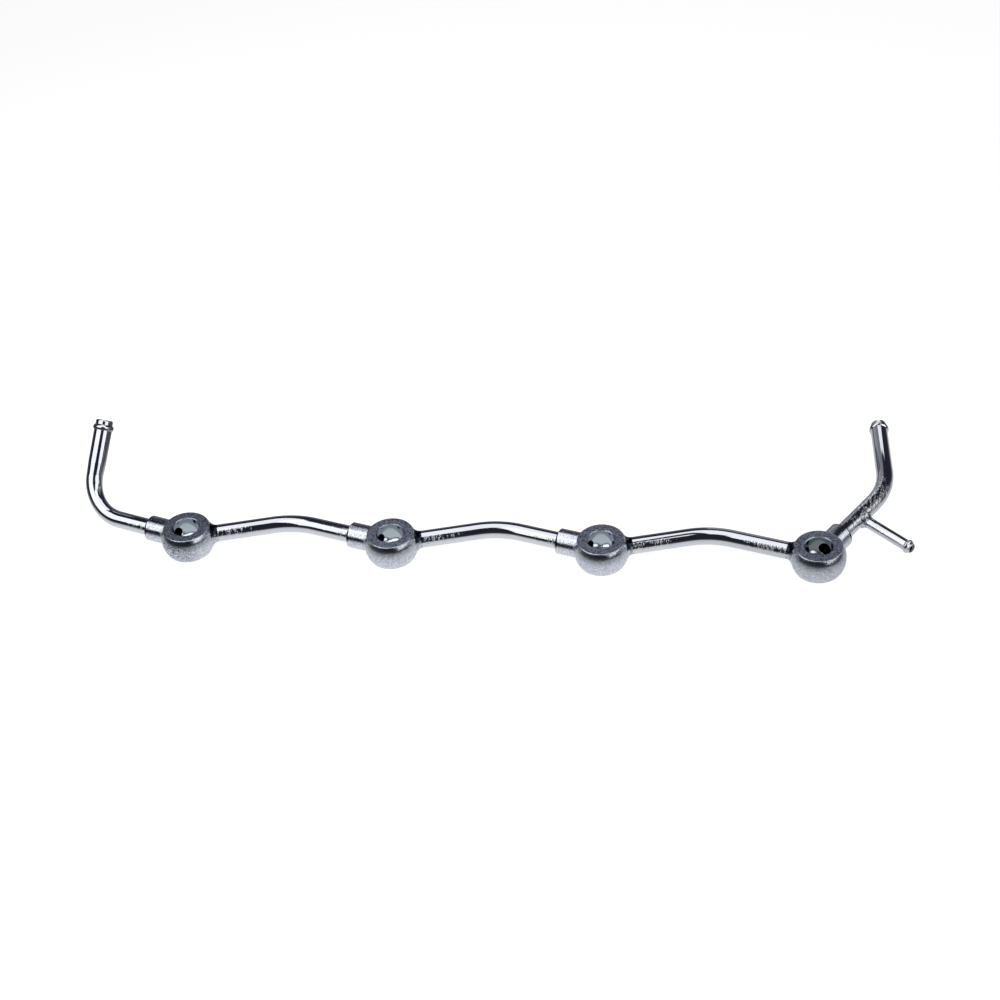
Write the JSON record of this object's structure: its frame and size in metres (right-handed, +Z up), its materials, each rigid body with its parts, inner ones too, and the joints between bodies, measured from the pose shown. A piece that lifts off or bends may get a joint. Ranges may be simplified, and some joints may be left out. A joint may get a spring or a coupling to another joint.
{
  "type": "fuel suction pipe",
  "caption": "Rigid fuel suction pipe: banjo eyes in a level row joined by gently arched tubes, a beaded hose tube at each end (the left one rising) and a small branch spigot.",
  "frame": {"origin": "middle of the bolt bore of eye 1, half way between its two sealing faces", "axes": "+X along the row from eye 1 to eye 4, +Y to the back towards the hose ends, +Z up along the banjo bolts"},
  "size_m": [0.3926, 0.1111, 0.0422],
  "materials": {
    "eye_steel": "bright zinc plate, semi-matt over a forged skin",
    "tube_steel": "bright zinc plate, glossy",
    "braze": "zinc plated over braze metal, slightly rough"
  },
  "bodies": {
    "root": {"eye_1": "eye_steel", "eye_2": "eye_steel", "eye_3": "eye_steel", "eye_4": "eye_steel", "link_tube_1_2": "tube_steel", "link_tube_2_3": "tube_steel", "link_tube_3_4": "tube_steel", "left_hose_tube": "tube_steel", "right_hose_tube": "tube_steel", "branch_spigot": "tube_steel", "neck_braze_1": "braze", "wall_braze_1": "braze", "neck_braze_2": "braze", "wall_braze_2": "braze", "neck_braze_3": "braze", "wall_braze_3": "braze", "neck_braze_4": "braze", "wall_braze_4": "braze", "branch_braze": "braze"}
  },
  "joints": []
}
